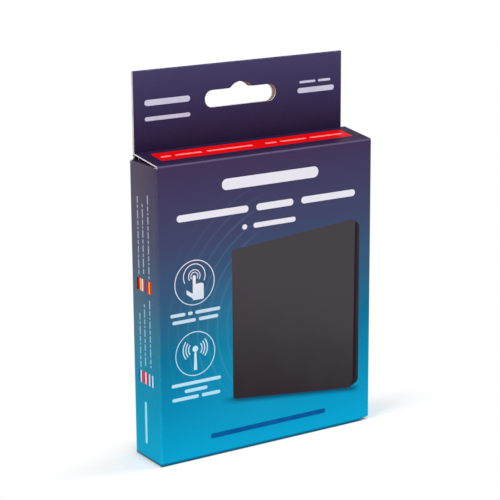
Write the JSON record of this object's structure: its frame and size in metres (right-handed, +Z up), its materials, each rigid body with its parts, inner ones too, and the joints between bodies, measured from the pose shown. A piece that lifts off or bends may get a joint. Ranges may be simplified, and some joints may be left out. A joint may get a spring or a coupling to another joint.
{
  "type": "hanging retail carton",
  "caption": "Flat upright folding carton with a fold-over hang tab, a hang slot and hinged tuck lids at the top and base, printed with a colour gradient.",
  "frame": {"origin": "under the middle of the base, level with what the carton stands on", "axes": "+X to the right seen from the printed front, +Y from the front panel to the back panel, +Z up to the hang tab"},
  "size_m": [0.095, 0.0194, 0.1446],
  "materials": {
    "printed_board": "satin",
    "white_ink": "satin",
    "dark_ink": "satin",
    "red_ink": "satin"
  },
  "bodies": {
    "carton": {"carton_body": "printed_board"},
    "top_lid": {"top_lid": "printed_board"},
    "base_lid": {"base_lid": "printed_board"}
  },
  "joints": [
    {"name": "top_lid_hinge", "type": "hinge", "parent": "carton", "child": "top_lid", "pos_m": [0, -0.00915, 0.1126], "axis": [1, 0, 0], "range_deg": [-7, 143]},
    {"name": "base_lid_hinge", "type": "hinge", "parent": "carton", "child": "base_lid", "pos_m": [0, -0.00915, 0.00065], "axis": [-1, 0, 0], "range_deg": [0, 150]}
  ]
}
